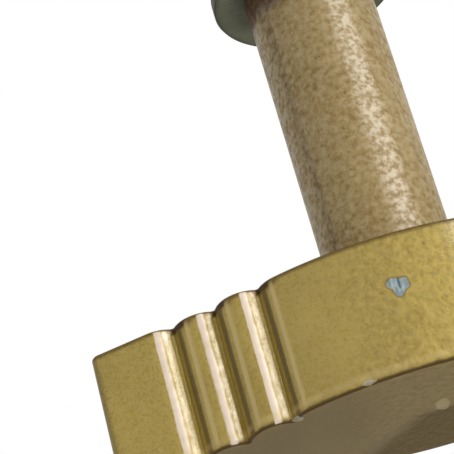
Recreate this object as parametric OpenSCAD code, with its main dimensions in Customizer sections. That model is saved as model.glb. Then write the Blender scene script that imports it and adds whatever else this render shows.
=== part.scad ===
// Clamping handle: a cast grip bar on a long turned neck, a flat washer and a threaded stud.
// The stud runs through the washer and the neck sleeve into a blind bore in the bar, where two
// flats stop it from turning. +Z runs along the stud, X along the bar, which stands on z = 0.

/* [Grip bar] */
// Length of the bar over both tips, at its inner face
bar_length = 56.8; // [48:0.1:80]
// Width of the bar across the hub, at its inner face
hub_width = 17.6; // [16:0.1:24]
// Thickness of the bar along the stud
bar_thickness = 13.4; // [9:0.1:20]
// Radius of the crowned front and back walls of the hub
hub_wall_r = 30; // [22:0.5:60]
// Distance from the stud axis to each end of the hub
hub_reach = 12.75; // [11.5:0.05:14]
// Radius of the shoulder where the hub wall turns into the first groove
hub_shoulder_r = 3.1; // [1:0.1:4]
// Radius of the rolled rims of both flat faces
rim_r = 0.35; // [0.2:0.05:0.8]
// Draft of the walls, which widens the bar towards its outer face (degrees)
draft = 0.6; // [0:0.1:2]

/* [Finger ridges] */
// Distance from one ridge to the next along the bar
ridge_pitch = 4.17; // [3.9:0.01:4.4]
// Distance from the stud axis to the innermost ridge
first_ridge = 13.95; // [13:0.05:15]
// Radius of each ridge
ridge_r = 2.7; // [2.3:0.05:3.2]
// Width of the bar over its innermost ridges
inner_ridge_width = 11.5; // [10.5:0.1:12.5]
// Width of the bar over its middle ridges
middle_ridge_width = 8.0; // [7.2:0.1:9]
// Width of the bar over its outermost ridges, where the thumb pads start
outer_ridge_width = 5.9; // [5.5:0.1:6.5]
// Width of the bar at its tips
tip_width = 3.0; // [2.4:0.1:5]
// Radius of the upright corners of the tips
tip_corner_r = 0.9; // [0.5:0.05:1.2]

/* [Neck sleeve] */
// Outer diameter of the neck
neck_d = 12; // [10:0.1:15]
// Length of the neck that stands clear of the bar
neck_length = 32.2; // [10:0.1:60]
// Depth to which the neck is let into the bar
seat_depth = 0.8; // [0.3:0.1:2]
// Chamfer on the outer edges of the neck
neck_chamfer = 0.25; // [0.1:0.05:0.6]

/* [Washer] */
// Outer diameter of the washer
washer_d = 18.2; // [16:0.1:26]
// Thickness of the washer
washer_t = 1.6; // [0.8:0.1:3]
// Radius of the stamped edge on the washer's free side
washer_edge_r = 0.3; // [0.1:0.05:0.35]
// Depth to which the relief's shoulder is let into the washer
shoulder_seat = 0.4; // [0.2:0.1:0.6]

/* [Clamp stud] */
// Major diameter of the thread
thread_d = 8; // [7:0.1:9]
// Length of the threaded end beyond the washer
thread_length = 20; // [8:0.5:60]
// Depth of the relief under the thread, whose shoulder holds the washer
relief_cut = 0.35; // [0.2:0.05:0.45]
// Chamfer at the tip of the thread
thread_chamfer = 1.0; // [0.4:0.1:1.5]
// Diameter of the plain shank inside the neck and the bar
shank_d = 6; // [4.5:0.1:6.5]
// Distance across the two flats that stop the stud from turning in the bar
flats_across = 4.8; // [3.8:0.1:5.8]
// Thickness of the bar between the end of the stud and the outer face
blind_wall = 3; // [2:0.5:5]

/* [Fits] */
// Clearance all round the shank in its bores
bore_clearance = 0.1; // [0.05:0.05:0.3]
// Clearance all round the neck in its seat and round the thread over the washer's recess
recess_clearance = 0.15; // [0.05:0.05:0.4]

/* [Hidden] */
$fn = 96;
overlap = 0.2;
// Straight steps that stand for each arc of the bar
tip_steps = 4;
ridge_steps = 8;
shoulder_steps = 5;
wall_steps = 8;
rim_steps = 2;

bar_top = bar_thickness;
neck_foot = bar_top - seat_depth;
neck_top = bar_top + neck_length;
washer_top = neck_top + washer_t;
shoulder_foot = washer_top - shoulder_seat;
stud_tip = washer_top + thread_length;
bore_d = shank_d + 2 * bore_clearance;
flats_bore = flats_across + 2 * bore_clearance;

// Centres of the arcs in the quarter with x > 0 and y > 0
ridge_widths = [inner_ridge_width, middle_ridge_width, outer_ridge_width];
ridge_count = len(ridge_widths);
function ridge_centre(i) = [first_ridge + i * ridge_pitch, ridge_widths[i] / 2 - ridge_r];
tip_centre = [bar_length / 2 - tip_corner_r, tip_width / 2 - tip_corner_r];
wall_centre = [0, hub_width / 2 - hub_wall_r];
shoulder_x = hub_reach - hub_shoulder_r;
shoulder_centre = [shoulder_x,
    wall_centre[1] + sqrt(pow(hub_wall_r - hub_shoulder_r, 2) - shoulder_x * shoulder_x)];

function point_on(centre, r, angle) = centre + r * [cos(angle), sin(angle)];
function angle_to(from, to) = atan2(to[1] - from[1], to[0] - from[0]);
function arc(centre, r, start, end, steps) =
    [for (k = [0 : steps]) point_on(centre, r, start + (end - start) * k / steps)];

// Crossing of two circles that lies on the outside of the bar.
function crossing(c1, r1, c2, r2) =
    let (
        gap = norm(c2 - c1),
        along = (gap * gap + r1 * r1 - r2 * r2) / (2 * gap),
        across = sqrt(max(r1 * r1 - along * along, 0)),
        dir = (c2 - c1) / gap
    )
    c1 + along * dir + across * [dir[1], -dir[0]];

// Quarter of the bar's outline, from the tip to the middle of the hub wall, drawn as arcs.
last_ridge = ridge_count - 1;
notches = [for (i = [0 : last_ridge])
    i == 0 ? crossing(ridge_centre(0), ridge_r, shoulder_centre, hub_shoulder_r)
           : crossing(ridge_centre(i), ridge_r, ridge_centre(i - 1), ridge_r)];
pad_turn = angle_to(tip_centre, ridge_centre(last_ridge)) + 360
    - acos((tip_corner_r - ridge_r) / norm(ridge_centre(last_ridge) - tip_centre));
wall_turn = angle_to(wall_centre, shoulder_centre);

function ridge_arc(i) =
    let (
        start = i == last_ridge ? pad_turn : angle_to(ridge_centre(i), notches[i + 1]),
        end = angle_to(ridge_centre(i), notches[i]),
        whole = arc(ridge_centre(i), ridge_r, start, end, ridge_steps)
    )
    i == last_ridge ? whole : tail(whole);

quarter_outline = concat(
    arc(tip_centre, tip_corner_r, 0, pad_turn, tip_steps),
    [for (i = [last_ridge : -1 : 0]) for (p = ridge_arc(i)) p],
    tail(arc(shoulder_centre, hub_shoulder_r,
        angle_to(shoulder_centre, notches[0]), wall_turn, shoulder_steps)),
    tail(arc(wall_centre, hub_wall_r, wall_turn, 90, wall_steps))
);

function tail(list) = [for (k = [1 : len(list) - 1]) list[k]];
function reversed(list) = [for (k = [len(list) - 1 : -1 : 0]) list[k]];
function mirrored(list, sx, sy) = [for (p = list) [p[0] * sx, p[1] * sy]];

// Whole outline, anticlockwise from the tip on +X.
bar_outline = concat(
    quarter_outline,
    tail(reversed(mirrored(quarter_outline, -1, 1))),
    mirrored(quarter_outline, -1, -1),
    tail(reversed(mirrored(quarter_outline, 1, -1)))
);

// The same outline with every side moved inwards by the same distance.
function edge_normal(from, to) = let (d = (to - from) / norm(to - from)) [-d[1], d[0]];
function inset_outline(list, distance) =
    let (count = len(list))
    [for (k = [0 : count - 1])
        let (
            before = edge_normal(list[(k + count - 1) % count], list[k]),
            after = edge_normal(list[k], list[(k + 1) % count])
        )
        list[k] + distance * (before + after) / (1 + before * after)];

// Sections of the bar from its outer face upwards, as [height, inset]: a rolled rim, the
// drafted wall and the other rolled rim.
rim_section = [for (k = [0 : rim_steps]) let (t = 90 * k / rim_steps) rim_r * [1 - sin(t), 1 - cos(t)]];
sections = concat(
    reversed(rim_section),
    [for (s = rim_section) [bar_thickness - s[0], s[1]]]
);

// Bar as it leaves the die, lofted through its sections. Each flat face is closed by strips
// that run straight across the bar, from one wall to the other.
module bar_casting() {
    rings = [for (s = sections)
        let (growth = (bar_thickness - s[0]) * tan(draft))
        [for (p = inset_outline(bar_outline, s[1] - growth)) [p[0], p[1], s[0]]]];
    count = len(bar_outline);
    top = len(rings) - 1;
    strips = [for (k = [0 : count / 2 - 2]) [k, k + 1, count - 2 - k, count - 1 - k]];
    polyhedron(
        points = [for (ring = rings) for (p = ring) p],
        faces = concat(
            strips,
            [for (j = [0 : top - 1]) for (k = [0 : count - 1])
                let (n = (k + 1) % count, low = j * count, high = low + count)
                [low + k, high + k, high + n, low + n]],
            [for (s = strips) [for (k = reversed(s)) top * count + k]]
        )
    );
}

// Round section with two flats, as on the end of the shank.
module flatted_round(d, across, from, to) {
    intersection() {
        translate([0, 0, from]) cylinder(d = d, h = to - from);
        translate([-across / 2, -d / 2, from]) cube([across, d, to - from]);
    }
}

module grip_bar() {
    color("darkgoldenrod")
        difference() {
            bar_casting();
            translate([0, 0, neck_foot])
                cylinder(d = neck_d + 2 * recess_clearance, h = seat_depth + overlap);
            flatted_round(bore_d, flats_bore, blind_wall, neck_foot + overlap);
        }
}

module neck_sleeve() {
    bore_r = bore_d / 2;
    outer_r = neck_d / 2;
    color("rosybrown")
        rotate_extrude()
            polygon([
                [bore_r, neck_foot],
                [outer_r - neck_chamfer, neck_foot],
                [outer_r, neck_foot + neck_chamfer],
                [outer_r, neck_top - neck_chamfer],
                [outer_r - neck_chamfer, neck_top],
                [bore_r, neck_top]
            ]);
}

module washer() {
    bore_r = bore_d / 2;
    outer_r = washer_d / 2;
    color("dimgray")
        difference() {
            rotate_extrude() {
                translate([bore_r, neck_top]) square([outer_r - bore_r, washer_t - washer_edge_r]);
                translate([bore_r, neck_top]) square([outer_r - washer_edge_r - bore_r, washer_t]);
                translate([outer_r - washer_edge_r, washer_top - washer_edge_r])
                    circle(r = washer_edge_r, $fn = 32);
            }
            translate([0, 0, shoulder_foot])
                cylinder(d = thread_d + 2 * recess_clearance, h = shoulder_seat + overlap);
        }
}

module clamp_stud() {
    thread_r = thread_d / 2;
    color("silver") {
        translate([0, 0, washer_top]) cylinder(d = thread_d, h = thread_length - thread_chamfer);
        translate([0, 0, shoulder_foot])
            cylinder(d = thread_d - 2 * relief_cut, h = shoulder_seat);
        translate([0, 0, stud_tip - thread_chamfer])
            cylinder(r1 = thread_r, r2 = thread_r - thread_chamfer, h = thread_chamfer);
        translate([0, 0, neck_foot]) cylinder(d = shank_d, h = shoulder_foot - neck_foot);
        flatted_round(shank_d, flats_across, blind_wall, neck_foot);
    }
}

grip_bar();
neck_sleeve();
washer();
clamp_stud();
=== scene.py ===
# %% [markdown]
# # Clamping handle
# A cast grip bar with three finger ridges at each end, on a long neck with a washer and a
# threaded stud. Bar and neck are sprayed with metallic paint, the washer and the stud are plated.
# The construction model is loaded first and stays the frame: every mesh made below sits where
# its solid sits, and only looks better.

# %% Load the frame
import math
import bmesh
import bpy
from mathutils import Matrix, Vector, noise


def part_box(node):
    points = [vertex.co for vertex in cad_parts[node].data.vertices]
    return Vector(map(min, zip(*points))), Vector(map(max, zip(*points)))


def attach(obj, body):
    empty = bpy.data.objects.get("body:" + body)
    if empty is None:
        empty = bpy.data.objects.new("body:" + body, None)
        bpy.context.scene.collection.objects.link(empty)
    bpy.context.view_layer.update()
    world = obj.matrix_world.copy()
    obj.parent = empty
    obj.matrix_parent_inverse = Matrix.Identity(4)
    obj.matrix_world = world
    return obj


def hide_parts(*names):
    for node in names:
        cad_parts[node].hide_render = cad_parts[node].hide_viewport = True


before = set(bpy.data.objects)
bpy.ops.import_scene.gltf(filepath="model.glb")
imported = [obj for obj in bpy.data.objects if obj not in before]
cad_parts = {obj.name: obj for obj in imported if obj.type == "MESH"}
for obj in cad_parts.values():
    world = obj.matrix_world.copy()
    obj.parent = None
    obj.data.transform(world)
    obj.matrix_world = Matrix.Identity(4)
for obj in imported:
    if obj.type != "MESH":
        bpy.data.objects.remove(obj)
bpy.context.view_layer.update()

MM = 0.001
print("nodes in the frame:", sorted(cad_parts))
for node_name in sorted(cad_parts):
    low, high = ([round(v * 1000, 2) for v in corner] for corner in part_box(node_name))
    print(f"  {node_name}: {low} to {high} mm")

# %% [markdown]
# ## Camera
# A long lens from a short way below the bar, as when the handle is held up and looked at along
# its neck. The camera is turned about its own axis, so that the neck leans. Its place could be
# typed in as nine numbers. It is worked out instead, which is easier to adjust, from two angles,
# the pixel where the aim point falls, and how many pixels the neck covers there.

# %% Camera
CAMERA_LOW = math.radians(28.93)
CAMERA_ROLL = math.radians(-15.81)
FOCAL_PX = 2500.0
IMAGE_PX = 454
SENSOR_MM = 36
AIM_POINT = Vector((0.0, 0.0, 13.4 * MM))
AIM_PX = (396.1, 277.0)
NECK_MM = 12.0
NECK_PX = 133.2


def camera_axes(low, roll):
    """Directions of the image's right, its up and the way back to the viewer."""
    right = Vector((1, 0, 0))
    down = Vector((0, math.sin(low), -math.cos(low)))
    ahead = Vector((0, math.cos(low), math.sin(low)))
    turned_right = math.cos(roll) * right - math.sin(roll) * down
    turned_down = math.sin(roll) * right + math.cos(roll) * down
    return turned_right, -turned_down, -ahead


def make_camera():
    right, up, back = camera_axes(CAMERA_LOW, CAMERA_ROLL)
    half = IMAGE_PX / 2
    scale = NECK_MM / NECK_PX * MM
    place = (AIM_POINT - right * (AIM_PX[0] - half) * scale + up * (AIM_PX[1] - half) * scale
             + back * FOCAL_PX * scale)
    data = bpy.data.cameras.new("camera")
    data.sensor_width = SENSOR_MM
    data.lens = FOCAL_PX * SENSOR_MM / IMAGE_PX
    data.clip_start, data.clip_end = 0.01, 10
    camera = bpy.data.objects.new("camera", data)
    bpy.context.scene.collection.objects.link(camera)
    axes = Matrix((right, up, back)).transposed().to_4x4()
    camera.matrix_world = Matrix.Translation(place) @ axes
    bpy.context.scene.camera = camera
    return camera


camera = make_camera()
print("camera at", [round(v * 1000, 1) for v in camera.matrix_world.translation], "mm")
print("lens", round(camera.data.lens, 1))

# %% [markdown]
# ## Node helpers
# Materials are built from nodes in code. Small helpers keep each material short: they add a node
# with its settings, join an output to an input, and do sums, soft steps and mixes of colours.

# %% Node helpers
def add_node(tree, kind, inputs=None, **settings):
    """A new node; settings are its properties, inputs its socket values by name or number."""
    node = tree.nodes.new(kind)
    for key, value in settings.items():
        setattr(node, key, value)
    for key, value in (inputs or {}).items():
        node.inputs[key].default_value = value
    return node


def join(tree, source, target):
    tree.links.new(source, target)


def feed(tree, value, socket):
    """Sets a socket to a plain value, or joins an output to it."""
    if isinstance(value, (int, float, tuple)):
        socket.default_value = value
    else:
        join(tree, value, socket)


def math_node(tree, operation, *values):
    """A Math node on sockets or plain numbers; returns its output."""
    node = add_node(tree, "ShaderNodeMath", operation=operation)
    for socket, value in zip(node.inputs, values):
        feed(tree, value, socket)
    return node.outputs[0]


def product(tree, first, *others):
    """The values multiplied, from left to right."""
    for other in others:
        first = math_node(tree, "MULTIPLY", first, other)
    return first


def scale_add(tree, value, scale, offset):
    return math_node(tree, "MULTIPLY_ADD", value, scale, offset)


def smooth_step(tree, value, start, end):
    """0 before start, 1 after end, and smooth between; start may be the larger."""
    node = add_node(tree, "ShaderNodeMapRange", interpolation_type="SMOOTHSTEP", clamp=True)
    join(tree, value, node.inputs["Value"])
    rising = start < end
    limits = (min(start, end), max(start, end), float(not rising), float(rising))
    for label, limit in zip(("From Min", "From Max", "To Min", "To Max"), limits):
        node.inputs[label].default_value = limit
    return node.outputs["Result"]


def mix_colours(tree, amount, first, second):
    node = add_node(tree, "ShaderNodeMix", data_type="RGBA", blend_type="MIX", clamp_factor=True)
    for number, value in ((0, amount), (6, first), (7, second)):
        feed(tree, value, node.inputs[number])
    return node.outputs[2]


def layer(tree, under, over, *masks):
    """The colour over on the colour under, as much as the product of the masks says."""
    return mix_colours(tree, product(tree, *masks), under, over)


def split_place(tree, place):
    """The X, Y and Z of a place."""
    node = add_node(tree, "ShaderNodeSeparateXYZ")
    join(tree, place, node.inputs[0])
    return node.outputs


def seen_rays(tree):
    """1 for rays that see the background: from the camera, from gloss and through glass."""
    ray = add_node(tree, "ShaderNodeLightPath").outputs
    seen = math_node(tree, "MAXIMUM", ray["Is Camera Ray"], ray["Is Transmission Ray"])
    return math_node(tree, "MAXIMUM", seen, ray["Is Glossy Ray"])


def colour(red, green, blue):
    """A colour written as screen values from 0 to 255, turned into the linear ones nodes use."""
    def linear(v):
        v /= 255
        return v / 12.92 if v <= 0.04045 else ((v + 0.055) / 1.055) ** 2.4
    return (linear(red), linear(green), linear(blue), 1.0)


print("middle grey is", round(colour(119, 119, 119)[0], 3), "as a linear value")

# %% [markdown]
# ## Floor, background and light
# A product table: a pale floor just under the bar and a white background. Seen from below, the
# floor is like clear glass, so its material lets through whatever comes up from under it, and
# what metal mirrors is the background and not the floor. A little emission, for the rays that
# see the background, lifts the floor towards its white and puts no light on matt surfaces.
# Making the floor paler with stronger lamps would bleach the paint as well.

# %% Floor
FLOOR_DROP = 0.3 * MM
FLOOR_SIZE = 1.2
FLOOR_COLOUR = (0.92, 0.92, 0.91, 1)
LIFT_COLOUR = (1, 1, 0.99, 1)
FLOOR_LIFT = 0.3


def floor_material():
    material = bpy.data.materials.new("pale_floor")
    material.use_nodes = True
    tree = material.node_tree
    tree.nodes.clear()
    out = add_node(tree, "ShaderNodeOutputMaterial")
    paint = add_node(tree, "ShaderNodeBsdfDiffuse", {"Color": FLOOR_COLOUR})
    clear = add_node(tree, "ShaderNodeBsdfTransparent")
    choose = add_node(tree, "ShaderNodeMixShader")
    ray = add_node(tree, "ShaderNodeLightPath").outputs
    side = add_node(tree, "ShaderNodeNewGeometry")
    shadow_or_metal = math_node(tree, "MAXIMUM", ray["Is Shadow Ray"], ray["Is Glossy Ray"])
    see_through = math_node(tree, "MAXIMUM", shadow_or_metal, side.outputs["Backfacing"])
    lift = add_node(tree, "ShaderNodeEmission", {"Color": LIFT_COLOUR})
    join(tree, product(tree, seen_rays(tree), FLOOR_LIFT), lift.inputs["Strength"])
    lifted = add_node(tree, "ShaderNodeAddShader")
    join(tree, paint.outputs[0], lifted.inputs[0])
    join(tree, lift.outputs[0], lifted.inputs[1])
    join(tree, see_through, choose.inputs[0])
    join(tree, lifted.outputs[0], choose.inputs[1])
    join(tree, clear.outputs[0], choose.inputs[2])
    join(tree, choose.outputs[0], out.inputs["Surface"])
    return material


def make_floor():
    mesh = bpy.data.meshes.new("floor")
    half = FLOOR_SIZE / 2
    corners = [(-half, -half, 0), (half, -half, 0), (half, half, 0), (-half, half, 0)]
    mesh.from_pydata(corners, [], [(0, 1, 2, 3)])
    mesh.materials.append(floor_material())
    floor = bpy.data.objects.new("floor", mesh)
    floor.location.z = -FLOOR_DROP
    bpy.context.scene.collection.objects.link(floor)


make_floor()
print("floor", FLOOR_SIZE, "m square,", FLOOR_DROP * 1000, "mm under the bar")

# %% [markdown]
# The world is white to the camera and to every ray that gloss or glass sends out, so that metal
# shows the same white background as the camera sees. What falls on matt paint is a soft room
# instead: lighter above, darker below, and darker still towards three sides, low in front, on the
# left and on the right. An even white room would be simpler, but it leaves round forms flat.

# %% World
ROOM_UP = 0.70
ROOM_SIDE = 0.44
ROOM_DOWN = 0.30
UP_AT = 0.9
DOWN_AT = -0.6
# Each dark side: the way it lies, how dark it is, and the cosines where it starts and is full.
DARK_SIDES = [
    ((0.0, -0.86, -0.5), 0.75, 0.35, 0.95),
    ((-0.87, -0.05, 0.49), 0.97, 0.56, 0.93),
    ((0.93, 0.1, 0.36), 0.8, 0.45, 0.95),
]


def room_level(tree):
    """Light of the soft room in each direction."""
    direction = add_node(tree, "ShaderNodeTexCoord").outputs["Generated"]
    height = split_place(tree, direction)["Z"]
    up = product(tree, smooth_step(tree, height, 0.0, UP_AT), ROOM_UP - ROOM_SIDE)
    down = product(tree, smooth_step(tree, height, 0.0, DOWN_AT), ROOM_DOWN - ROOM_SIDE)
    level = math_node(tree, "ADD", math_node(tree, "ADD", up, down), ROOM_SIDE)
    for towards, amount, start, full in DARK_SIDES:
        facing = add_node(tree, "ShaderNodeVectorMath", {1: towards}, operation="DOT_PRODUCT")
        join(tree, direction, facing.inputs[0])
        shade = smooth_step(tree, facing.outputs["Value"], start, full)
        level = product(tree, level, scale_add(tree, shade, -amount, 1.0))
    return level


def make_world():
    world = bpy.data.worlds.new("studio")
    bpy.context.scene.world = world
    world.use_nodes = True
    tree = world.node_tree
    tree.nodes.clear()
    out = add_node(tree, "ShaderNodeOutputWorld")
    white = add_node(tree, "ShaderNodeBackground", {"Color": (1, 1, 1, 1), "Strength": 1.0})
    room = add_node(tree, "ShaderNodeBackground", {"Color": (1, 1, 1, 1)})
    join(tree, room_level(tree), room.inputs["Strength"])
    choose = add_node(tree, "ShaderNodeMixShader")
    join(tree, seen_rays(tree), choose.inputs[0])
    join(tree, room.outputs[0], choose.inputs[1])
    join(tree, white.outputs[0], choose.inputs[2])
    join(tree, choose.outputs[0], out.inputs["Surface"])


make_world()
bpy.context.scene.view_settings.view_transform = "Standard"
print("room light: up", ROOM_UP, "side", ROOM_SIDE, "down", ROOM_DOWN)

# %% [markdown]
# The lamps are flat softboxes, because their reflection is an even band with soft ends. The key,
# to the right and above, draws the bright bands on the ridges and the neck. A weak one from below
# keeps the outer face readable.

# %% Lamps
LAMP_TARGET = Vector((-6 * MM, 0, 18 * MM))


def softbox(name, azimuth, elevation, distance, width, height, power, tint=(1, 1, 1)):
    """A flat lamp facing the handle; azimuth 0 is in front and 90 is to the right."""
    a, e = math.radians(azimuth), math.radians(elevation)
    away = Vector((math.sin(a) * math.cos(e), -math.cos(a) * math.cos(e), math.sin(e)))
    data = bpy.data.lights.new(name, "AREA")
    data.shape = "RECTANGLE"
    data.size, data.size_y = width, height
    data.energy = power
    data.color = tint
    lamp = bpy.data.objects.new(name, data)
    lamp.location = LAMP_TARGET + away * distance
    lamp.rotation_mode = "QUATERNION"
    lamp.rotation_quaternion = away.to_track_quat("Z", "Y")
    bpy.context.scene.collection.objects.link(lamp)
    print(f"lamp {name}: {power} W from {distance} m")


softbox("key", azimuth=46, elevation=29, distance=0.6, width=0.367, height=0.2, power=2.1,
        tint=(1.0, 0.985, 0.96))
softbox("low_fill", azimuth=10, elevation=-60, distance=0.7, width=0.5, height=0.5, power=0.4)

# %% [markdown]
# ## Mesh helpers
# The turned pieces are lathed: one profile of radius and height, turned round the stud's axis.
# A ring of vertices is made for each profile point, and neighbouring rings are joined by faces.
# A ready cylinder with a bevel would be quicker, but its edges and rows couldn't be chosen.

# %% Mesh helpers
FILLET_STEPS = 4
HOLD = 0.3


def finish_mesh(name, bm, node, material):
    """Makes an object from bm that stands for one construction node and rides with it."""
    bmesh.ops.recalc_face_normals(bm, faces=bm.faces)
    mesh = bpy.data.meshes.new(name)
    bm.to_mesh(mesh)
    bm.free()
    mesh.shade_smooth()
    mesh.materials.append(material)
    piece = bpy.data.objects.new(name, mesh)
    bpy.context.scene.collection.objects.link(piece)
    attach(piece, "root")
    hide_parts(node)
    print(f"{name}: {len(mesh.vertices)} vertices, {len(mesh.polygons)} faces")
    return piece


def join_rings(bm, lower, upper):
    count = len(lower)
    for k in range(count):
        after = (k + 1) % count
        bm.faces.new((lower[k], lower[after], upper[after], upper[k]))


def ring(bm, radius, height, segments):
    return [bm.verts.new((radius * math.cos(a) * MM, radius * math.sin(a) * MM, height * MM))
            for a in (2 * math.pi * k / segments for k in range(segments))]


def rounded(corners):
    """Profile points from corners (radius, height, fillet), with a point beside each fillet
    that keeps the flats next to it flat."""
    points = []
    for k, (r, h, fillet) in enumerate(corners):
        here = Vector((r, h))
        if fillet == 0:
            points.append((r, h))
            continue
        before = (Vector(corners[k - 1][:2]) - here).normalized()
        after = (Vector(corners[(k + 1) % len(corners)][:2]) - here).normalized()
        start, end = here + before * fillet, here + after * fillet
        curve = [(1 - t) ** 2 * start + 2 * t * (1 - t) * here + t ** 2 * end
                 for t in (j / FILLET_STEPS for j in range(FILLET_STEPS + 1))]
        held = [start + before * fillet * HOLD] + curve + [end + after * fillet * HOLD]
        points += [tuple(p) for p in held]
    return points


def spaced(points, longest):
    """The closed profile with extra points, so that no step is longer than longest."""
    filled = []
    for k, (r, h) in enumerate(points):
        r2, h2 = points[(k + 1) % len(points)]
        steps = max(1, math.ceil(math.hypot(r2 - r, h2 - h) / longest))
        filled += [(r + (r2 - r) * j / steps, h + (h2 - h) * j / steps) for j in range(steps)]
    return filled


def lathe(profile, segments):
    """A closed ring-shaped solid from a closed profile."""
    bm = bmesh.new()
    rings = [ring(bm, r, h, segments) for r, h in profile]
    for k in range(len(rings)):
        join_rings(bm, rings[k], rings[(k + 1) % len(rings)])
    return bm


print("a rounded corner has", FILLET_STEPS + 3, "profile points")

# %% [markdown]
# ## Surface effects
# Each effect below is a node group, because it is used more than once: by several finishes, or
# at several places of one. A group only puts out masks and heights; the shader that uses them
# stays in its own material.
#
# *Cast grain* is sprayed metal over a rough casting: soft lumps come from the casting, fine
# specks from the metal flakes in the paint, and clouds from uneven spraying. Three noises of
# different size do this at any zoom, where an image texture would blur. `Size` is the width of a
# lump in metres.

# %% Group: cast grain
FLAKES_PER_LUMP = 5.0
CLOUDS_PER_LUMP = 0.15
FLAKE_HEIGHT = 0.3


def new_group(name, sockets_in, sockets_out):
    group = bpy.data.node_groups.new(name, "ShaderNodeTree")
    for label, kind, value in sockets_in:
        socket = group.interface.new_socket(name=label, in_out="INPUT", socket_type=kind)
        if value is not None:
            socket.default_value = value
    for label in sockets_out:
        group.interface.new_socket(name=label, in_out="OUTPUT", socket_type="NodeSocketFloat")
    return group, group.nodes.new("NodeGroupInput"), group.nodes.new("NodeGroupOutput")


def noise_node(tree, place, scale, detail, roughness, stretch=None):
    """Noise between 0 and 1 on a place in metres; scale is lumps per metre."""
    node = add_node(tree, "ShaderNodeTexNoise", {"Detail": detail, "Roughness": roughness})
    if stretch:
        mapping = add_node(tree, "ShaderNodeMapping", {"Scale": stretch})
        join(tree, place, mapping.inputs["Vector"])
        place = mapping.outputs["Vector"]
    join(tree, place, node.inputs["Vector"])
    feed(tree, scale, node.inputs["Scale"])
    return node.outputs[0]


def cast_grain_group():
    group, given, result = new_group(
        "cast grain",
        [("Place", "NodeSocketVector", None), ("Size", "NodeSocketFloat", 0.0006)],
        ["Height", "Lumps", "Flakes", "Clouds"])
    scale = math_node(group, "DIVIDE", 1.0, given.outputs["Size"])
    place = given.outputs["Place"]
    lumps = noise_node(group, place, scale, 2.0, 0.5)
    flakes = noise_node(group, place, product(group, scale, FLAKES_PER_LUMP), 1.0, 0.7)
    clouds = noise_node(group, place, product(group, scale, CLOUDS_PER_LUMP), 3.0, 0.6)
    height = math_node(group, "ADD", lumps, product(group, flakes, FLAKE_HEIGHT))
    made = {"Height": height, "Lumps": lumps, "Flakes": flakes, "Clouds": clouds}
    for label, value in made.items():
        join(group, value, result.inputs[label])
    return group


cast_grain = cast_grain_group()
print("group:", cast_grain.name)

# %% [markdown]
# *Pits* are small craters where the spray didn't close over the casting's pores. Only some cells
# of a Voronoi pattern get one, and their size differs. A Voronoi cell gives each pit a place and
# a chance of its own, which noise can't.

# %% Group: pits
PIT_LEAST = 0.12
PIT_SPREAD = 0.14


def pits_group():
    group, given, result = new_group(
        "pits",
        [("Place", "NodeSocketVector", None), ("Size", "NodeSocketFloat", 0.001),
         ("Share", "NodeSocketFloat", 0.2)],
        ["Mask"])
    cells = add_node(group, "ShaderNodeTexVoronoi", {"Randomness": 1.0}, feature="F1")
    join(group, given.outputs["Place"], cells.inputs["Vector"])
    join(group, math_node(group, "DIVIDE", 1.0, given.outputs["Size"]), cells.inputs["Scale"])
    chance = add_node(group, "ShaderNodeSeparateColor")
    join(group, cells.outputs["Color"], chance.inputs[0])
    chosen = math_node(group, "LESS_THAN", chance.outputs[0], given.outputs["Share"])
    width = scale_add(group, chance.outputs[1], PIT_SPREAD, PIT_LEAST)
    inside = math_node(group, "DIVIDE", cells.outputs["Distance"], width)
    join(group, product(group, smooth_step(group, inside, 1.0, 0.2), chosen), result.inputs["Mask"])
    return group


pits = pits_group()
print("group:", pits.name)

# %% [markdown]
# *Chip* is a spot of chosen size at a chosen place, with a ragged edge. It stands for knocks that
# took the paint off, and for single marks in the casting. The distance from its centre, made
# uneven by noise, is enough: no extra mesh is needed for so thin a layer.

# %% Group: chip
RAGGED_PER_METRE = 1600.0


def vector_node(tree, operation, first, second):
    node = add_node(tree, "ShaderNodeVectorMath", operation=operation)
    join(tree, first, node.inputs[0])
    join(tree, second, node.inputs[1])
    return node.outputs[0]


def chip_group():
    group, given, result = new_group(
        "chip",
        [("Place", "NodeSocketVector", None), ("Centre", "NodeSocketVector", None),
         ("Reach", "NodeSocketVector", (0.001, 0.001, 0.001)),
         ("Ragged", "NodeSocketFloat", 0.5)],
        ["Mask", "Rim"])
    place = given.outputs["Place"]
    away = vector_node(group, "SUBTRACT", place, given.outputs["Centre"])
    size = add_node(group, "ShaderNodeVectorMath", operation="LENGTH")
    join(group, vector_node(group, "DIVIDE", away, given.outputs["Reach"]), size.inputs[0])
    wobble = noise_node(group, place, RAGGED_PER_METRE, 2.0, 0.6)
    wobble = product(group, math_node(group, "SUBTRACT", wobble, 0.5), given.outputs["Ragged"])
    distance = math_node(group, "ADD", size.outputs["Value"], wobble)
    join(group, smooth_step(group, distance, 1.0, 0.86), result.inputs["Mask"])
    lip = product(group, smooth_step(group, distance, 1.35, 1.0),
                  smooth_step(group, distance, 0.8, 0.95))
    join(group, lip, result.inputs["Rim"])
    return group


chip = chip_group()
print("group:", chip.name)

# %% [markdown]
# ## Finishes
# Every finish starts from the same few lines: a material with one Principled shader, and the
# place on the surface in metres. Object coordinates are that place, because every piece has its
# origin where the handle has it, so a grain size means the same on each piece.

# %% Material helpers
def new_material(name):
    material = bpy.data.materials.new(name)
    material.use_nodes = True
    tree = material.node_tree
    tree.nodes.clear()
    out = add_node(tree, "ShaderNodeOutputMaterial")
    shader = add_node(tree, "ShaderNodeBsdfPrincipled")
    join(tree, shader.outputs[0], out.inputs["Surface"])
    place = add_node(tree, "ShaderNodeTexCoord").outputs["Object"]
    return material, tree, shader, place


def use_group(tree, group, **values):
    node = add_node(tree, "ShaderNodeGroup", node_tree=group)
    for label, value in values.items():
        feed(tree, value, node.inputs[label])
    return node.outputs


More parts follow.
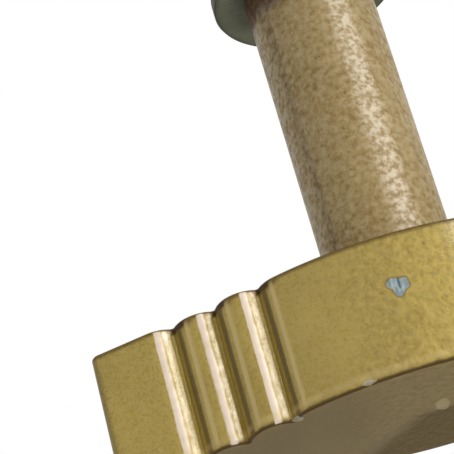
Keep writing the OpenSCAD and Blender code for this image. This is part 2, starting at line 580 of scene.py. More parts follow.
def add_bump(tree, shader, height, distance, before=None):
    """distance is the real height in metres of a step from 0 to 1; before is an earlier bump."""
    bump = add_node(tree, "ShaderNodeBump", {"Strength": 1.0, "Distance": distance})
    join(tree, height, bump.inputs["Height"])
    if before:
        join(tree, before.outputs[0], bump.inputs["Normal"])
    join(tree, bump.outputs[0], shader.inputs["Normal"])
    return bump


def set_shader(shader, **values):
    for label, value in values.items():
        shader.inputs[label.replace("_", " ")].default_value = value


def speckled(tree, flakes, base, light, dark, light_share, dark_share):
    """Base colour with light specks where flakes is high and dark ones where it is low."""
    base = layer(tree, base, light, smooth_step(tree, flakes, 0.5, 0.68), light_share)
    return layer(tree, base, dark, smooth_step(tree, flakes, 0.5, 0.32), dark_share)


def stored(tree, name):
    """A value that the mesh stores at each vertex."""
    return add_node(tree, "ShaderNodeAttribute", attribute_name=name).outputs["Fac"]


print("groups at hand:", [group.name for group in bpy.data.node_groups])

# %% [markdown]
# ## Gold paint
# The bar is sprayed with a gold metallic paint over the zinc casting. Metallic paint is metal
# flake under a clear binder: the flakes give a broad, coloured gloss, and the binder a narrow
# white one on top. Principled does this with a half metallic base and a coat; a fully metallic
# base would look like polished brass. Where the paint is gone the bare zinc shows, bluish and
# less smooth. Painted shade in the grooves and on the rims, and painted highlight on the ridges,
# come from values that the mesh stores (`shade`, one for the highlight bands, and `pale`); painted
# shade on the outer face and painted light on the hub come from masks here. Single knocks are
# placed with the chip group.

# %% Gold paint: colours
GOLD_DEEP = colour(155, 132, 51)
GOLD_LIGHT = colour(170, 147, 61)
GOLD_SPECK = colour(175, 154, 78)
GOLD_DARK = colour(65, 41, 5)
GOLD_HIGHLIGHT = colour(215, 199, 180)
GOLD_PALE = colour(202, 179, 122)
GOLD_MARK = colour(180, 161, 116)
ZINC_BRIGHT = colour(156, 169, 170)
ZINC_DULL = colour(88, 107, 120)
WORN_EDGE = colour(180, 172, 162)
print("deep gold, linear:", [round(v, 3) for v in GOLD_DEEP[:3]])

# %% Gold paint: sizes and shares
GOLD_GRAIN_SIZE = 0.0014
GOLD_PIT_SIZE = 0.0012
GOLD_PIT_SHARE = 0.22
WORMS_PER_METRE = 1500.0
# Along X: where the spray turns coarse, where the hub ends, where the painted shade on the outer
# face gets stronger.
COARSE_X = (-0.010, -0.0015)
HUB_X = (0.0128, 0.0118)
WING_X = (-0.0025, -0.008)
SUNK_DARK = 0.2
RAISED_LIGHT = 0.5
PIT_DARK = 0.5
HUB_PAINTED_LIGHT = 0.2
OUTER_FACE_SHADE = 0.38
WING_SHADE = 0.16
FAR_SHADOW_DARK = 0.5
GOLD_METAL = 0.45
GOLD_ROUGH = 0.5
HIGHLIGHT_METAL = 0.25
HIGHLIGHT_SMOOTHER = -0.2
GOLD_COAT = 0.25
COAT_CUT = -0.9
OUTER_COAT_CUT = 0.6
COAT_IOR = 1.8
FINE_BUMP = 0.00006
WORM_BUMP = 0.00011
print("lumps in the gold paint are", GOLD_GRAIN_SIZE * 1000, "mm wide")

# %% Gold paint: single marks, each a centre and a reach in metres
CENTRE_MARK = ((0.0005, -0.0004, 0.0), (0.0007, 0.0012, 0.0005))
CHIPS = [
    ((-0.00098, -0.0088, 0.00840), (0.00062, 0.0012, 0.00055)),
    ((-0.00018, -0.0088, 0.00812), (0.00056, 0.0012, 0.00064)),
    ((-0.00064, -0.0088, 0.00774), (0.00052, 0.0012, 0.00072)),
]
CHIP_RIDGE_SHADE = ((-0.00052, -0.0088, 0.00835), (0.00012, 0.0012, 0.0007))
NICKS = [
    ((-0.0056, -0.0086, 0.0002), (0.0008, 0.0005, 0.00028)),
    ((-0.01205, -0.0056, 0.0001), (0.0005, 0.0005, 0.0002)),
]
print("single marks: 1 light spot,", len(CHIPS), "chips that meet and", len(NICKS), "nicks")


# %% Gold paint: masks
def mark_at(tree, place, mark, ragged):
    return use_group(tree, chip, Place=place, Centre=mark[0], Reach=mark[1], Ragged=ragged)


def outer_face_masks(tree, place):
    """Painted shadow over the far side of the outer face, with a soft ragged border, and the outer
    face.
    """
    x, y, z = split_place(tree, place)
    ragged = scale_add(tree, noise_node(tree, place, 500.0, 3.0, 0.6), 0.0016, -0.0008)
    y = math_node(tree, "ADD", y, ragged)
    across = math_node(tree, "ADD", product(tree, x, 0.74), product(tree, y, 0.67))
    beyond = product(tree, smooth_step(tree, across, -0.0026, 0.0004),
                     smooth_step(tree, y, -0.0002, 0.0008))
    outer = smooth_step(tree, z, 0.0002, 0.0)
    return product(tree, beyond, outer), outer


def painted_highlight_mask(tree, place):
    """Painted highlight along the ridges, broken up by noise."""
    # Noise that breaks up the painted highlight.
    worn = noise_node(tree, place, 1500.0, 2.0, 0.5, stretch=(1.0, 1.0, 0.5))
    ragged = math_node(tree, "ADD", stored(tree, "painted_highlight"), scale_add(tree, worn, 0.8, -0.4))
    return product(tree, smooth_step(tree, ragged, 0.1, 0.9), scale_add(tree, worn, 0.6, 0.65))


# %% Gold paint: colour in layers
def gold_spray(tree, place, x, grain, worms, coarse):
    """The paint as it was sprayed, from its clouds down to its pits, and painted light over the
    hub.
    """
    speck = use_group(tree, pits, Place=place, Size=GOLD_PIT_SIZE, Share=GOLD_PIT_SHARE)
    tone = layer(tree, GOLD_DEEP, GOLD_LIGHT, smooth_step(tree, grain["Clouds"], 0.3, 0.7))
    tone = speckled(tree, grain["Flakes"], tone, GOLD_SPECK, GOLD_DARK, 0.35, 0.16)
    tone = layer(tree, tone, GOLD_DARK, smooth_step(tree, worms, 0.5, 0.3), coarse, SUNK_DARK)
    tone = layer(tree, tone, GOLD_SPECK, smooth_step(tree, worms, 0.52, 0.7), coarse, RAISED_LIGHT)
    tone = layer(tree, tone, GOLD_DARK, speck["Mask"], coarse, PIT_DARK)
    # Painted light: the hub is lighter than the wings.
    hub = smooth_step(tree, math_node(tree, "ABSOLUTE", x), *HUB_X)
    return layer(tree, tone, GOLD_SPECK, hub, HUB_PAINTED_LIGHT)


def gold_use(tree, tone, x, dull, outer, shade, painted_highlight):
    """Painted shade on the outer face and from the mesh, painted highlight bands on the ridges, and
    pale painted light lines.
    """
    wing = smooth_step(tree, x, *WING_X)
    # Painted shade: the whole outer face is darker, more so on the wing towards -X.
    tone = layer(tree, tone, GOLD_DARK, outer, scale_add(tree, wing, WING_SHADE, OUTER_FACE_SHADE))
    # Painted shadow over the far side of the outer face.
    tone = layer(tree, tone, GOLD_DARK, dull, FAR_SHADOW_DARK)
    # Painted shade that the mesh stores: grooves, rims, tips and ridge flanks.
    tone = layer(tree, tone, GOLD_DARK, shade)
    # Painted highlight bands along the ridges.
    tone = layer(tree, tone, GOLD_HIGHLIGHT, painted_highlight)
    # Pale lines of painted highlight beside the grooves and above the lower rim.
    return layer(tree, tone, GOLD_PALE, stored(tree, "pale"))


def gold_marks(tree, place, tone):
    """Single marks: the light spot in the middle of the outer face, the chip down to the zinc, and
    the nicks on the rim.
    """
    tone = layer(tree, tone, GOLD_MARK, mark_at(tree, place, CENTRE_MARK, 0.9)["Mask"], 0.8)
    bare = None
    for mark in CHIPS:
        spot = mark_at(tree, place, mark, 0.6)
        # Painted shade round the raised edge of each chip.
        tone = layer(tree, tone, GOLD_DARK, spot["Rim"], 0.45)
        bare = spot["Mask"] if bare is None else math_node(tree, "MAXIMUM", bare, spot["Mask"])
    # Painted shade down the ridge where the chip's two faces meet, on the bare zinc.
    ridge_shade = mark_at(tree, place, CHIP_RIDGE_SHADE, 0.5)["Mask"]
    scratched = noise_node(tree, place, 2600.0, 1.0, 0.5, stretch=(1.0, 1.0, 0.35))
    lines = product(tree, smooth_step(tree, scratched, 0.6, 0.4), 0.45)
    zinc = layer(tree, ZINC_BRIGHT, ZINC_DULL, math_node(tree, "MAXIMUM", ridge_shade, lines))
    tone = layer(tree, tone, zinc, bare)
    edge = layer(tree, GOLD_MARK, WORN_EDGE, smooth_step(tree, scratched, 0.4, 0.6))
    for mark in NICKS:
        tone = layer(tree, tone, edge, mark_at(tree, place, mark, 1.2)["Mask"], 0.75)
    return tone, bare


# %% Gold paint: the material
def make_gold_paint():
    material, tree, shader, place = new_material("gold_paint")
    x = split_place(tree, place)["X"]
    grain = use_group(tree, cast_grain, Place=place, Size=GOLD_GRAIN_SIZE)
    coarse = smooth_step(tree, x, *COARSE_X)
    worms = noise_node(tree, place, WORMS_PER_METRE, 1.0, 0.4)
    shade = stored(tree, "shade")
    dull, outer = outer_face_masks(tree, place)
    painted_highlight = painted_highlight_mask(tree, place)
    tone = gold_spray(tree, place, x, grain, worms, coarse)
    tone = gold_use(tree, tone, x, dull, outer, shade, painted_highlight)
    tone, bare = gold_marks(tree, place, tone)
    join(tree, tone, shader.inputs["Base Color"])
    # The painted highlight bands are also made more metallic and smoother.
    join(tree, scale_add(tree, painted_highlight, HIGHLIGHT_METAL, GOLD_METAL), shader.inputs["Metallic"])
    satin = scale_add(tree, grain["Flakes"], 0.2, GOLD_ROUGH)
    join(tree, scale_add(tree, painted_highlight, HIGHLIGHT_SMOOTHER, satin), shader.inputs["Roughness"])
    # The coat is thinned where the zinc is bare and under the painted shade, so that the painted
    # shade stays dark.
    bare_and_shaded = math_node(tree, "MAXIMUM", math_node(tree, "MAXIMUM", bare, shade), dull)
    bare_and_shaded = math_node(tree, "MAXIMUM", bare_and_shaded, product(tree, outer, OUTER_COAT_CUT))
    uneven = smooth_step(tree, grain["Flakes"], 0.35, 0.6)
    coat = product(tree, scale_add(tree, bare_and_shaded, COAT_CUT, 1.0),
                   scale_add(tree, uneven, GOLD_COAT, GOLD_COAT))
    join(tree, coat, shader.inputs["Coat Weight"])
    set_shader(shader, Coat_Roughness=0.16, Coat_IOR=COAT_IOR, Specular_IOR_Level=0.2)
    height = product(tree, grain["Height"], scale_add(tree, coarse, 0.75, 0.25))
    fine = add_bump(tree, shader, height, FINE_BUMP)
    add_bump(tree, shader, product(tree, worms, coarse), WORM_BUMP, fine)
    return material


gold_paint = make_gold_paint()
print("material:", gold_paint.name, "with", len(gold_paint.node_tree.nodes), "nodes")

# %% [markdown]
# ## Bronze paint
# The neck is sprayed too, with a browner paint that lies thicker, like orange peel. Its gloss is
# broader than the bar's, and the coat is patchy, so its highlight has ragged edges. The patches
# come from the same noise as the paint's dark and light spots, because both have one cause: how
# thick the paint lies.

# %% Bronze paint
BRONZE_BROWN = colour(154, 130, 82)
BRONZE_LIGHT = colour(162, 140, 92)
BRONZE_SPECK = colour(178, 159, 107)
BRONZE_DARK = colour(67, 38, 19)
BRONZE_GRAIN_SIZE = 0.0016
BRONZE_PIT_SHARE = 0.3
PEEL_PER_METRE = 1700.0
BRONZE_COAT_LEAST = 0.12
BRONZE_COAT_PATCHES = 0.42
BRONZE_BUMP = 0.00007


def make_bronze_paint():
    material, tree, shader, place = new_material("bronze_paint")
    grain = use_group(tree, cast_grain, Place=place, Size=BRONZE_GRAIN_SIZE)
    speck = use_group(tree, pits, Place=place, Size=BRONZE_GRAIN_SIZE, Share=BRONZE_PIT_SHARE)
    peel = noise_node(tree, place, PEEL_PER_METRE, 1.0, 0.4)
    tone = layer(tree, BRONZE_BROWN, BRONZE_LIGHT, smooth_step(tree, grain["Clouds"], 0.35, 0.65))
    tone = speckled(tree, grain["Flakes"], tone, BRONZE_SPECK, BRONZE_DARK, 0.25, 0.1)
    tone = layer(tree, tone, BRONZE_DARK, smooth_step(tree, peel, 0.42, 0.28), 0.25)
    tone = layer(tree, tone, BRONZE_SPECK, smooth_step(tree, peel, 0.56, 0.72), 0.4)
    tone = layer(tree, tone, BRONZE_DARK, speck["Mask"], 0.35)
    tone = layer(tree, tone, BRONZE_DARK, stored(tree, "shade"))
    join(tree, tone, shader.inputs["Base Color"])
    set_shader(shader, Metallic=0.12, Roughness=0.6, Coat_Roughness=0.29, Coat_IOR=COAT_IOR,
               Specular_IOR_Level=0.1)
    patches = scale_add(tree, peel, 0.65, product(tree, grain["Flakes"], 0.35))
    coat = scale_add(tree, smooth_step(tree, patches, 0.4, 0.6),
                     BRONZE_COAT_PATCHES, BRONZE_COAT_LEAST)
    join(tree, coat, shader.inputs["Coat Weight"])
    add_bump(tree, shader, grain["Height"], BRONZE_BUMP)
    return material


bronze_paint = make_bronze_paint()
print("material:", bronze_paint.name, "with", len(bronze_paint.node_tree.nodes), "nodes")

# %% [markdown]
# ## Plated steel
# Washer and stud are zinc plated. The washer's plating has gone dull, grey with a green tinge;
# the stud's is still bright. Both come from one recipe with their own colours, so that they stay
# of one family: a metal with cloudy colour and gloss, and faint lines that the tool left.

# %% Plated steel
PLATING_GRAIN_SIZE = 0.0012
PLATING_BUMP = 0.00003
TOOL_LINES = (1.0, 1.0, 6.0)


def make_plated(name, dull, bright, dark, metal, rough):
    material, tree, shader, place = new_material(name)
    grain = use_group(tree, cast_grain, Place=place, Size=PLATING_GRAIN_SIZE)
    lines = noise_node(tree, place, 900.0, 2.0, 0.6, stretch=TOOL_LINES)
    tone = layer(tree, dull, bright, smooth_step(tree, grain["Clouds"], 0.3, 0.7))
    tone = layer(tree, tone, dark, smooth_step(tree, lines, 0.55, 0.75), 0.3)
    tone = layer(tree, tone, dark, stored(tree, "shade"))
    join(tree, tone, shader.inputs["Base Color"])
    join(tree, scale_add(tree, grain["Lumps"], 0.25, rough), shader.inputs["Roughness"])
    set_shader(shader, Metallic=metal, Specular_IOR_Level=0.2)
    add_bump(tree, shader, grain["Height"], PLATING_BUMP)
    return material


dark_zinc = make_plated("dark_zinc", dull=colour(92, 93, 74), bright=colour(107, 108, 89),
                        dark=colour(41, 40, 29), metal=0.7, rough=0.45)
bright_zinc = make_plated("bright_zinc", dull=colour(155, 156, 155), bright=colour(180, 180, 174),
                          dark=colour(96, 94, 87), metal=1.0, rough=0.22)
print("materials:", dark_zinc.name, bright_zinc.name)

# %% [markdown]
# ## Grip bar
# The bar is a die casting. Seen from its flat face, its outline is made of arcs that run into
# each other: a crowned hub, a shoulder, three finger ridges and a flat thumb pad at each end.
# Each arc keeps its centre when the outline is moved inwards, so the drafted wall and the rolled
# rims come from the same arcs with smaller radii. That gives exact smooth edges, which a bevel
# on a coarse mesh wouldn't. The grooves get a small fillet, as paint and casting leave there.

# %% Grip bar: sizes in mm
BAR_THICKNESS = 13.4
BAR_HALF_LENGTH = 28.4
TIP_HALF_WIDTH = 1.5
TIP_CORNER_R = 0.9
RIDGE_R = 2.7
RIDGES = [(13.95, 3.05), (18.12, 1.3), (22.29, 0.25)]
HUB_HALF_WIDTH = 8.8
WALL_R = 30.0
WALL_CENTRE = (0.0, HUB_HALF_WIDTH - WALL_R)
SHOULDER_R = 3.1
SHOULDER_X = 9.65
SHOULDER = (SHOULDER_X,
            WALL_CENTRE[1] + math.sqrt((WALL_R - SHOULDER_R) ** 2 - SHOULDER_X ** 2))
GROOVE_FILLET = 0.2
RIM_R = 0.35
DRAFT = math.tan(math.radians(0.6))
SEAT_R = 6.15
SEAT_FLOOR = 12.6
BORE_R = 3.1
BORE_END = 3.0
# Longest step along the outline and up the wall, widest turn in an arc, and steps in a rim.
STEP = 0.16
ROW_STEP = 0.3
TURN_STEP = 0.12
RIM_STEPS = 6
# The strip beside a rim that holds the flat face flat.
FLAT_HOLD = 0.12
HOLE_SEGMENTS = 96
print("shoulder at", [round(v, 2) for v in SHOULDER], "mm")


# %% Grip bar: arcs and straights
def arc_points(centre, radius, start, end, bulge=1):
    """Points and outward normals on an arc; bulge -1 is a hollow arc."""
    turn = abs(end - start)
    steps = max(2, math.ceil(turn * radius / STEP), math.ceil(turn / TURN_STEP))
    made = []
    for k in range(steps + 1):
        a = start + (end - start) * k / steps
        c, s = math.cos(a), math.sin(a)
        made.append((centre[0] + radius * c, centre[1] + radius * s, bulge * c, bulge * s))
    return made


def straight_points(start, end):
    """Points between two outline points that share their normal."""
    steps = max(1, math.ceil(math.hypot(end[0] - start[0], end[1] - start[1]) / STEP))
    return [tuple(a + (b - a) * k / steps for a, b in zip(start, end)) for k in range(1, steps)]


def angle_between(start, end):
    return math.atan2(end[1] - start[1], end[0] - start[0])


def fillet_centre(first, r1, second, r2):
    """Centre of the fillet that touches two round bulges, on the outer side of both."""
    gap = math.hypot(second[0] - first[0], second[1] - first[1])
    d1, d2 = r1 + GROOVE_FILLET, r2 + GROOVE_FILLET
    along = (gap * gap + d1 * d1 - d2 * d2) / (2 * gap)
    across = math.sqrt(d1 * d1 - along * along)
    ux, uy = (second[0] - first[0]) / gap, (second[1] - first[1]) / gap
    return (first[0] + along * ux + across * uy, first[1] + along * uy - across * ux)


print("a half turn round a ridge takes", len(arc_points((0, 0), RIDGE_R, 0, math.pi)), "points")


# %% Grip bar: outline
def quarter_outline(grooves):
    """From the middle of the tip on +X to the middle of the hub wall on +Y."""
    tip = (BAR_HALF_LENGTH - TIP_CORNER_R, TIP_HALF_WIDTH - TIP_CORNER_R)
    outer = RIDGES[-1]
    gap = math.hypot(outer[0] - tip[0], outer[1] - tip[1])
    pad = angle_between(tip, outer) - math.acos((TIP_CORNER_R - RIDGE_R) / gap)
    pad = pad % (2 * math.pi)
    path = [(BAR_HALF_LENGTH, 0.0, 1.0, 0.0), (BAR_HALF_LENGTH, tip[1] / 2, 1.0, 0.0)]
    path += arc_points(tip, TIP_CORNER_R, 0.0, pad)
    bulges = [(c, RIDGE_R) for c in reversed(RIDGES)] + [(SHOULDER, SHOULDER_R)]
    start = pad
    for k, (centre, radius) in enumerate(bulges):
        last = k + 1 == len(bulges)
        if not last:
            following, r2 = bulges[k + 1]
            hollow = fillet_centre(centre, radius, following, r2)
            grooves.append(hollow)
        end = angle_between(WALL_CENTRE, SHOULDER) if last else angle_between(centre, hollow)
        arc = arc_points(centre, radius, start, end)
        path += straight_points(path[-1], arc[0]) + arc if k == 0 else arc[1:]
        if not last:
            first = angle_between(hollow, centre)
            turn = (angle_between(hollow, following) - first) % (2 * math.pi) - 2 * math.pi
            path += arc_points(hollow, GROOVE_FILLET, first, first + turn, -1)[1:]
            start = angle_between(following, hollow)
    return path + arc_points(WALL_CENTRE, WALL_R, end, math.pi / 2)[1:]


def whole_outline(grooves):
    quarter = quarter_outline(grooves)
    left = [(-x, y, -nx, ny) for x, y, nx, ny in reversed(quarter)][1:]
    half = quarter + left
    return half + [(-x, -y, -nx, -ny) for x, y, nx, ny in half][1:-1]


groove_centres = []
bar_outline = whole_outline(groove_centres)
print("outline of", len(bar_outline), "points, widest",
      round(max(p[1] for p in bar_outline) * 2, 2), "mm")
print("grooves at", [(round(x, 2), round(y, 2)) for x, y in groove_centres])

# %% [markdown]
# The outline becomes a ring of vertices at each height, and rings are joined as on the turned
# pieces. A rim moves its rings inwards along a quarter circle, and the draft moves each ring a
# little outwards towards the outer face. The seat and the bore go in from the neck's side.

# %% Grip bar: mesh
SEAT_PROFILE = [
    (SEAT_R + 0.3, BAR_THICKNESS), (SEAT_R + FLAT_HOLD, BAR_THICKNESS),
    (SEAT_R + 0.03, BAR_THICKNESS - 0.03), (SEAT_R, BAR_THICKNESS - FLAT_HOLD),
    (SEAT_R, SEAT_FLOOR), (BORE_R, SEAT_FLOOR), (BORE_R, BORE_END),
]


def bar_sections():
    """Height and inset of each ring, from the outer face up: rim, drafted wall, rim."""
    turns = [math.pi / 2 * k / RIM_STEPS for k in range(RIM_STEPS + 1)]
    rim = [(RIM_R * (1 - math.sin(t)), RIM_R * (1 - math.cos(t))) for t in turns]
    straight = BAR_THICKNESS - 2 * RIM_R
    rows = round(straight / ROW_STEP)
    wall = [(RIM_R + straight * k / rows, 0.0) for k in range(1, rows)]
    return [(h, s) for h, s in reversed(rim)] + wall + [(BAR_THICKNESS - h, s) for h, s in rim]


def bar_ring(bm, height, inset):
    shift = (BAR_THICKNESS - height) * DRAFT - inset
    return [bm.verts.new(((x + nx * shift) * MM, (y + ny * shift) * MM, height * MM))
            for x, y, nx, ny in bar_outline]


def loop_edges(bm, loop):
    return [bm.edges.get((loop[k], loop[(k + 1) % len(loop)])) for k in range(len(loop))]


def close_outer_face(bm, loop):
    """Strips across the bar, between vertices that mirror each other."""
    count = len(loop)
    for k in range(count // 2):
        strip = [loop[k], loop[k + 1], loop[count - k - 1], loop[(count - k) % count]]
        bm.faces.new(list(dict.fromkeys(strip)))


def make_grip_bar():
    bm = bmesh.new()
    rings = [bar_ring(bm, h, s) for h, s in bar_sections()]
    for low, high in zip(rings, rings[1:]):
        join_rings(bm, low, high)
    flat_low = bar_ring(bm, 0.0, RIM_R + FLAT_HOLD)
    flat_high = bar_ring(bm, BAR_THICKNESS, RIM_R + FLAT_HOLD)
    join_rings(bm, flat_low, rings[0])
    join_rings(bm, rings[-1], flat_high)
    hole = [ring(bm, r, h, HOLE_SEGMENTS) for r, h in SEAT_PROFILE]
    for high, low in zip(hole, hole[1:]):
        join_rings(bm, low, high)
    bm.faces.new(hole[-1])
    bmesh.ops.triangle_fill(bm, use_beauty=True,
                            edges=loop_edges(bm, flat_high) + loop_edges(bm, hole[0]))
    close_outer_face(bm, flat_low)
    return finish_mesh("grip_bar_cast", bm, "grip_bar", gold_paint)


grip_bar = make_grip_bar()

# %% [markdown]
# Painted shade goes into the grooves, beside them at the inner face, over both rims, at the tips
# and on the flank of each ridge that faces the hub, and painted highlight goes along the ridges
# and in pale lines beside the grooves and above the lower rim. All these places are known from
# the outline, so the mesh stores them itself: at each vertex `shade` says how much painted shade
# there is, a second value how strong the painted highlight is, and `pale` where a painted light
# line runs. Painting them by hand would do too, but it would have to be done again after each
# change of shape.

# %% Grip bar: stored values, lengths in mm and turns in degrees
GROOVE_DARK = (0.5, 0.78)
GROOVE_LIP = (1.26, 1.46)
GROOVE_SHADE = 0.72
GROOVE_PALE = 0.6
LOW_PALE = 0.3
LOW_LIP = (0.5, 0.85)
TIP_SHADE = 0.4
TIP_SHADE_X = (27.7, 28.25)
LOW_RIM_SHADE = 0.85
HIGH_RIM_SHADE = 0.75
RIM_WOBBLE = 0.2
HIGHLIGHT_CLEARS_RIM = 0.85
HIGHLIGHT_FROM = -4
HIGHLIGHT_TO = 8
HIGHLIGHT_END = 22
HIGHLIGHT_FADE = 0.72
TIP_HIGHLIGHT_FADE = 0.62
FLANK_FROM = 19
FLANK_TO = (60, 45)
FLANK_SHADE = 0.2


def soft(value, start, end):
    """0 at start, 1 at end, and smooth between; start may be the larger."""
    t = min(1.0, max(0.0, (value - start) / (end - start)))
    return t * t * (3 - 2 * t)


def around_ridges(x, y):
    """For each ridge: its X, the distance from its axis, and the turn towards the hub."""
    for cx, cy in RIDGES:
        ax, ay = abs(x) - cx, abs(y) - cy
        yield cx, math.hypot(ax, ay), math.degrees(math.atan2(-ax, ay))


def past_grooves(x):
    """How far x lies from the middle of each groove, counted towards the hub."""
    return [gx - abs(x) for gx, _ in groove_centres]


def store(piece, name, measure):
    """Stores what measure says of each vertex's place."""
    values = [measure(v.co) for v in piece.data.vertices]
    attribute = piece.data.attributes.new(name, "FLOAT", "POINT")
    attribute.data.foreach_set("value", values)
    print(f"{piece.name}: {name} up to {max(values):.2f}")


# %% Grip bar: painted highlight on the ridges
# Painted highlight: a band on each ridge, from near its crest round to the side that faces the hub.
def bar_painted_highlight(place):
    x, y, z = (c / MM for c in place)
    best = 0.0
    for cx, distance, turn in around_ridges(x, y):
        on_ridge = soft(distance, RIDGE_R - 0.4, RIDGE_R - 0.1)
        fade = TIP_HIGHLIGHT_FADE if cx == max(RIDGES)[0] else HIGHLIGHT_FADE
        level = 1.0 - fade * soft(turn, HIGHLIGHT_TO, HIGHLIGHT_TO + 6)
        sides = soft(turn, HIGHLIGHT_FROM, HIGHLIGHT_FROM + 4), soft(turn, HIGHLIGHT_END + 5, HIGHLIGHT_END)
        best = max(best, on_ridge * level * sides[0] * sides[1])
    return best * soft(z, 0.02, 0.15) * soft(z, BAR_THICKNESS - 0.1, BAR_THICKNESS - 0.35)


crest = Vector((RIDGES[0][0], RIDGES[0][1] + RIDGE_R, BAR_THICKNESS / 2)) * MM
print("painted highlight on a crest:", round(bar_painted_highlight(crest), 2))


# %% Grip bar: painted shade
# Painted shade in each groove, on its side towards the hub.
def groove_shade(x):
    start, end = GROOVE_DARK
    return GROOVE_SHADE * max(soft(t, start - 0.15, start) * soft(t, end + 0.15, end)
                              for t in past_grooves(x))


def corner_shade(x, z):
    """Painted shade beside a groove, where it meets the inner face."""
    beside = max(soft(t, -0.4, 0.0) * soft(t, 2.4, 1.2) for t in past_grooves(x))
    return beside * soft(z, BAR_THICKNESS - 1.1, BAR_THICKNESS - 0.6)


def flank_shade(x, y):
    """Painted shade on the side of a ridge that looks towards the hub."""
    darkest = 0.0
    for _, distance, turn in around_ridges(x, y):
        on_ridge = soft(abs(distance - RIDGE_R - 0.05), 0.3, 0.15)
        facing = soft(turn, FLANK_FROM, FLANK_FROM + 4) * soft(turn, *FLANK_TO)
        darkest = max(darkest, FLANK_SHADE * on_ridge * facing)
    return darkest


def rim_shade(place, z):
    """Painted shade on both rims, less under the painted highlight bands."""
    wobble = noise.noise(place * 1400) * RIM_WOBBLE
    off_highlight = 1.0 - HIGHLIGHT_CLEARS_RIM * bar_painted_highlight(place)
    low = LOW_RIM_SHADE * soft(z, 0.36 + wobble, 0.12) * off_highlight
    high = HIGH_RIM_SHADE * soft(z, BAR_THICKNESS - 0.7 - wobble, BAR_THICKNESS - 0.25) * off_highlight
    return max(low, high)


def bar_shade(place):
    x, y, z = (c / MM for c in place)
    flat = not 0.004 < z < BAR_THICKNESS - 0.004
    if flat or math.hypot(x, y) < SEAT_R + 0.2:
        return 0.0
    tip = TIP_SHADE * soft(abs(x), *TIP_SHADE_X)
    return max(groove_shade(x), corner_shade(x, z), rim_shade(place, z), tip, flank_shade(x, y))


print("painted shade on a crest:", round(bar_shade(crest), 2))


# %% Grip bar: pale lines of painted highlight
# Painted highlight: a light line on the hub side of each groove, and a light band just above the
# lower rim.
def bar_pale(place):
    x, _, z = (c / MM for c in place)
    lip_from, lip_to = GROOVE_LIP
    lip = GROOVE_PALE * max(soft(t, lip_from - 0.15, lip_from) * soft(t, lip_to + 0.2, lip_to)
                            for t in past_grooves(x))
    low_from, low_to = LOW_LIP
    low = LOW_PALE * soft(z, low_from - 0.15, low_from) * soft(z, low_to + 0.3, low_to)
    uneven = max(lip, low * (1 + noise.noise(place * 900)))
    return uneven * soft(z, 0.2, 0.5) * soft(z, BAR_THICKNESS - 0.2, BAR_THICKNESS - 0.6)


store(grip_bar, "shade", bar_shade)
store(grip_bar, "painted_highlight", bar_painted_highlight)
store(grip_bar, "pale", bar_pale)

# %% [markdown]
# ## Neck
# The neck is a turned steel sleeve with lightly broken edges. A lathe is the obvious tool: one
# profile turned round the axis, as on the real machine. A ready cylinder would have no rows
# between its ends; here a row every half millimetre gives the stored values places to sit. They
# hold painted shade at both ends, where the neck meets the bar and the washer, a painted shadow
# of the washer on the left side near it, a thin dark streak of painted reflection along the left
# side, and painted shade that grows towards the top.

# %% Neck, lengths in mm and turns in degrees
NECK_R = 6.0
NECK_TOP = 45.6
NECK_EDGE = 0.25
NECK_ROW = 0.5
LATHE_SEGMENTS = 160
STREAK_AT = -50
STREAK_WIDTH = 7.0
STREAK_CORE = 1.5
STREAK_SHADE = 0.38
TOP_SHADE = 0.8
FOOT_SHADE = 0.6
WASHER_SHADOW_SHADE = 0.85
NECK_FADE = 0.09
NECK_FADE_FROM = 26.0


# Painted shade on the neck: both ends, the washer's shadow on the left, a streak of dark
# reflection, and darker towards the top.
def neck_shade(place):
    z = place.z / MM
    ragged = noise.noise(place * 500) * 0.5
    turn = math.degrees(math.atan2(place.x, -place.y))
    ends = max(TOP_SHADE * soft(z + ragged, NECK_TOP - 0.9, NECK_TOP),
               FOOT_SHADE * soft(z, BAR_THICKNESS + 0.5, BAR_THICKNESS))
    washer_shadow = soft(z + ragged, NECK_TOP - 4.6, NECK_TOP - 2.7)
    washer_shadow = washer_shadow * soft(turn, 5, -30) * soft(turn, -150, -110)
    patchy = 0.75 + noise.noise(Vector((3.0, 7.0, place.z * 150)))
    streak = STREAK_SHADE * soft(abs(turn - STREAK_AT), STREAK_WIDTH, STREAK_CORE) * patchy
    fade = NECK_FADE * soft(z, NECK_FADE_FROM, NECK_TOP)
    return max(ends, WASHER_SHADOW_SHADE * washer_shadow, streak + fade, 0.0)


neck_profile = rounded([
    (BORE_R, SEAT_FLOOR, 0), (NECK_R, SEAT_FLOOR, NECK_EDGE),
    (NECK_R, NECK_TOP, NECK_EDGE), (BORE_R, NECK_TOP, 0)])
neck = finish_mesh("neck_turned", lathe(spaced(neck_profile, NECK_ROW), LATHE_SEGMENTS),
                   "neck_sleeve", bronze_paint)
store(neck, "shade", neck_shade)

# %% [markdown]
# ## Washer
# A stamped washer: the die rolls the edge on the side it enters and leaves the other side
# sharper. The shoulder of the stud sits in a shallow recess. It is lathed as the neck is, and
# then the vertices near its rim are moved a little by noise, because a pressed rim is never
# quite round. They only move inwards, so that the washer keeps to its size.

# %% Washer, lengths in mm
WASHER_R = 9.1
WASHER_TOP = 47.2
WASHER_SHARP = 0.12
WASHER_ROLLED = 0.3
WASHER_ROW = 0.4
SHOULDER_FOOT = 46.8
RECESS_R = 4.15
RECESS_EDGE = 0.05
WAVE_FROM = 8.5
WAVE_WIDTH = 0.6
WAVE_DEPTH = 0.004


def washer_shade(place):
    r = math.hypot(place.x, place.y) / MM
    under = place.z / MM < NECK_TOP + 0.3
    return max(0.5 * soft(r, 8.2, 6.3) if under else 0.0, 0.7 * soft(r, 8.8, 9.0))


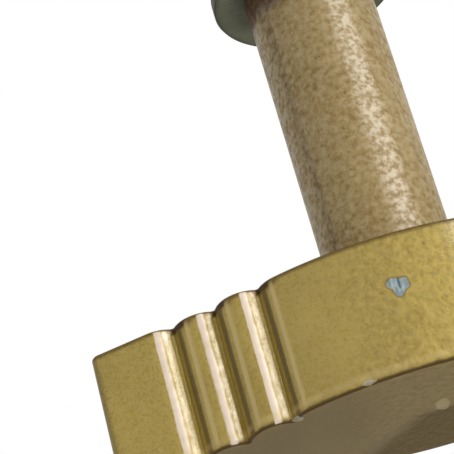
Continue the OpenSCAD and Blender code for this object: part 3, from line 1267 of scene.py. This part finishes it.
def wave_rim(piece):
    for vertex in piece.data.vertices:
        radius = math.hypot(vertex.co.x, vertex.co.y)
        if radius > WAVE_FROM * MM:
            uneven = 1 + noise.noise(vertex.co * 350)
            pull = 1 - WAVE_DEPTH * uneven * (radius / MM - WAVE_FROM) / WAVE_WIDTH
            vertex.co.x *= pull
            vertex.co.y *= pull


washer_profile = rounded([
    (BORE_R, NECK_TOP, 0), (WASHER_R, NECK_TOP, WASHER_SHARP),
    (WASHER_R, WASHER_TOP, WASHER_ROLLED), (RECESS_R, WASHER_TOP, RECESS_EDGE),
    (RECESS_R, SHOULDER_FOOT, 0), (BORE_R, SHOULDER_FOOT, 0)])
washer = finish_mesh("washer_stamped", lathe(spaced(washer_profile, WASHER_ROW), LATHE_SEGMENTS),
                     "washer", dark_zinc)
wave_rim(washer)
store(washer, "shade", washer_shade)

# %% [markdown]
# ## Clamp stud
# The stud carries a metric M8 thread, pitch 1.25 mm, right-hand. A thread is a turned surface
# whose radius also depends on the angle, so each ring of the lathe takes its radius from a tooth
# that climbs one pitch a turn. A screw modifier could sweep the tooth as well, but its ends
# would have to be closed by hand. Near the washer the thread runs out into the plain rod, and a
# chamfer ends it at the tip.

# %% Clamp stud, lengths in mm
PITCH = 1.25
THREAD_R = 4.0
ROOT_R = 3.35
THREAD_CHAMFER = 1.0
STUD_TIP = 67.2
TIP_HOLD = 0.15
RELIEF_R = 3.65
SHANK_R = 3.0
RUN_OUT = (0.15, 1.4)
TURN_STEPS = 64
PITCH_STEPS = 12
ROOT_SHADE = 0.6


def tooth(phase):
    """Depth of the thread below its crest, from 0 to 1, over one pitch."""
    across = abs((phase % 1.0) - 0.5) * 2
    return 1 - soft(across, 0.1, 0.86)


def thread_radius(height, angle):
    depth = tooth(height / PITCH - angle / (2 * math.pi)) * (THREAD_R - ROOT_R)
    depth *= soft(height, WASHER_TOP + RUN_OUT[0], WASHER_TOP + RUN_OUT[1])
    return min(THREAD_R - depth, THREAD_R - THREAD_CHAMFER + STUD_TIP - height)


def thread_ring(bm, height, angles):
    radii = [thread_radius(height, a) for a in angles]
    return [bm.verts.new((r * math.cos(a) * MM, r * math.sin(a) * MM, height * MM))
            for r, a in zip(radii, angles)]


def make_stud():
    bm = bmesh.new()
    plain = [(SHANK_R, BORE_END), (SHANK_R, SHOULDER_FOOT),
             (RELIEF_R, SHOULDER_FOOT), (RELIEF_R, WASHER_TOP)]
    rings = [ring(bm, r, h, TURN_STEPS) for r, h in plain]
    angles = [2 * math.pi * k / TURN_STEPS for k in range(TURN_STEPS)]
    rows = math.ceil((STUD_TIP - WASHER_TOP) / PITCH * PITCH_STEPS)
    for j in range(rows + 1):
        rings.append(thread_ring(bm, WASHER_TOP + (STUD_TIP - WASHER_TOP) * j / rows, angles))
    for low, high in zip(rings, rings[1:]):
        join_rings(bm, low, high)
    bm.faces.new(rings[0])
    tip = ring(bm, THREAD_R - THREAD_CHAMFER - TIP_HOLD, STUD_TIP, TURN_STEPS)
    join_rings(bm, rings[-1], tip)
    bm.faces.new(tip)
    return finish_mesh("stud_threaded", bm, "clamp_stud", bright_zinc)


def stud_shade(place):
    return soft(math.hypot(place.x, place.y) / MM, 3.75, 3.4) * ROOT_SHADE


stud = make_stud()
store(stud, "shade", stud_shade)
